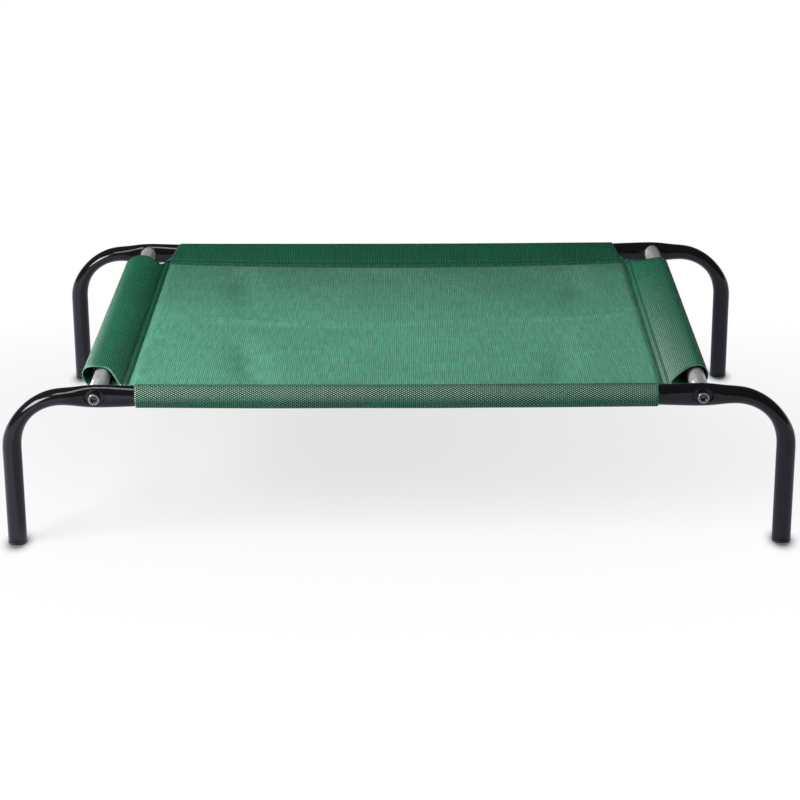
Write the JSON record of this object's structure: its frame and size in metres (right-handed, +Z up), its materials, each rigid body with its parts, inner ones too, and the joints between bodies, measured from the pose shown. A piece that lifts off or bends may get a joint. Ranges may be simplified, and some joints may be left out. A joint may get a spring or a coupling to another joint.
{
  "type": "raised dog bed",
  "caption": "Low rectangular pet bed: a black bent-tube frame with legs, silver cross bars bolted between the rails, and a green mesh sling sewn around all sides.",
  "frame": {"origin": "on the floor, in the middle of the bed's footprint", "axes": "+X along the bed, +Y from the front rail to the rear rail, +Z up"},
  "size_m": [0.9122, 0.6182, 0.1951],
  "materials": {
    "black_powder_coat": "satin",
    "zinc_plate": "satin",
    "plug_steel": "satin",
    "black_oxide": "satin",
    "foot_plastic": "satin",
    "green_mesh": "matte"
  },
  "bodies": {
    "root": {"front_rail_left": "black_powder_coat", "front_rail_right": "black_powder_coat", "rear_rail_left": "black_powder_coat", "rear_rail_right": "black_powder_coat", "left_cross_bar": "zinc_plate", "right_cross_bar": "zinc_plate", "left_bar_front_plug": "plug_steel", "left_bar_rear_plug": "plug_steel", "right_bar_front_plug": "plug_steel", "right_bar_rear_plug": "plug_steel", "front_left_bolt": "black_oxide", "front_right_bolt": "black_oxide", "rear_left_bolt": "black_oxide", "rear_right_bolt": "black_oxide", "front_left_foot": "foot_plastic", "front_right_foot": "foot_plastic", "rear_left_foot": "foot_plastic", "rear_right_foot": "foot_plastic", "sling_cover": "green_mesh"}
  },
  "joints": []
}
